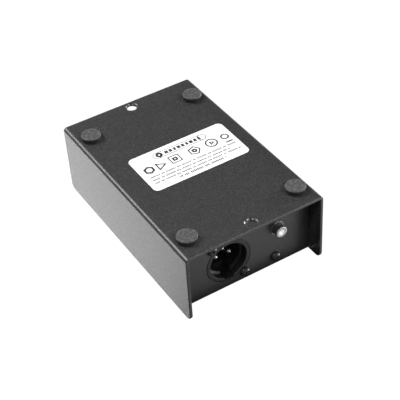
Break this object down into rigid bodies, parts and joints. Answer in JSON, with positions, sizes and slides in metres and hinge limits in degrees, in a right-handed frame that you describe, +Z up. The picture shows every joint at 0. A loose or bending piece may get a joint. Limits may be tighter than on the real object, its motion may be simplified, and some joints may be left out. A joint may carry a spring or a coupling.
{
  "type": "direct injection box",
  "caption": "Compact passive direct injection box: folded steel case on rubber feet, male three-pin output and ground lift button in one recessed end, jacks in the other.",
  "frame": {"origin": "centre of the case's footprint, on the plane that the rubber feet stand on", "axes": "+Z up from the feet to the cover, +Y along the length from the output end to the jack end, +X to the right of someone who faces the jack end from the output end"},
  "size_m": [0.07, 0.111, 0.0385],
  "materials": {
    "powder_coat": "black powder coat, satin, very fine grain",
    "zinc_steel": "zinc-plated steel",
    "black_screw": "black oxide steel",
    "foot_rubber": "matte black rubber",
    "label_film": "white printed polyester film",
    "connector_plastic": "black glass-filled nylon",
    "insert_plastic": "black nylon",
    "contact_metal": "silver-plated brass",
    "button_chrome": "satin chrome",
    "plunger_plastic": "white acetal",
    "collar_nickel": "bright nickel",
    "switch_plastic": "dark grey plastic",
    "spring_steel": "drawn steel wire",
    "tinned_leads": "tinned wire",
    "wire_insulation": "green and yellow insulation",
    "board_laminate": "green solder mask on glass laminate",
    "core_steel": "stacked steel laminations",
    "bobbin_plastic": "natural nylon",
    "copper_wire": "enamelled copper wire",
    "resistor_coating": "blue resistor lacquer",
    "capacitor_case": "red moulded film capacitor",
    "jack_plastic": "black nylon",
    "jack_nickel": "nickel-plated brass"
  },
  "bodies": {
    "enclosure": {"base_shell": "powder_coat", "cover_chassis": "powder_coat", "cover_brackets": "zinc_steel", "ground_nut": "zinc_steel", "transformer_strap": "zinc_steel", "cover_screws": "black_screw", "xlr_screws": "black_screw", "ground_screw": "black_screw", "foot_front_left": "foot_rubber", "foot_front_right": "foot_rubber", "foot_rear_left": "foot_rubber", "foot_rear_right": "foot_rubber", "rating_label": "label_film", "xlr_housing": "connector_plastic", "xlr_insert": "insert_plastic", "xlr_pins": "contact_metal", "input_jack_contacts": "contact_metal", "link_jack_contacts": "contact_metal", "ground_lug": "contact_metal", "button_collar": "collar_nickel", "switch_body": "switch_plastic", "switch_spring": "spring_steel", "switch_terminals": "tinned_leads", "transformer_pins": "tinned_leads", "ground_wire": "wire_insulation", "circuit_board": "board_laminate", "transformer_core": "core_steel", "transformer_bobbin": "bobbin_plastic", "transformer_winding": "copper_wire", "resistors": "resistor_coating", "capacitors": "capacitor_case", "input_jack_body": "jack_plastic", "link_jack_body": "jack_plastic", "input_jack_bushing": "jack_nickel", "input_jack_nut": "jack_nickel", "input_jack_washer": "jack_nickel", "link_jack_bushing": "jack_nickel", "link_jack_nut": "jack_nickel", "link_jack_washer": "jack_nickel"},
    "ground_lift": {"ground_lift_button": "button_chrome", "switch_plunger": "plunger_plastic"}
  },
  "joints": [
    {"name": "ground_lift_push", "type": "slide", "parent": "enclosure", "child": "ground_lift", "axis": [0, 1, 0], "range_m": [0, 0.0025], "stiffness_N_per_m": 400, "springref_m": -0.001, "deforming": ["switch_spring"]}
  ]
}
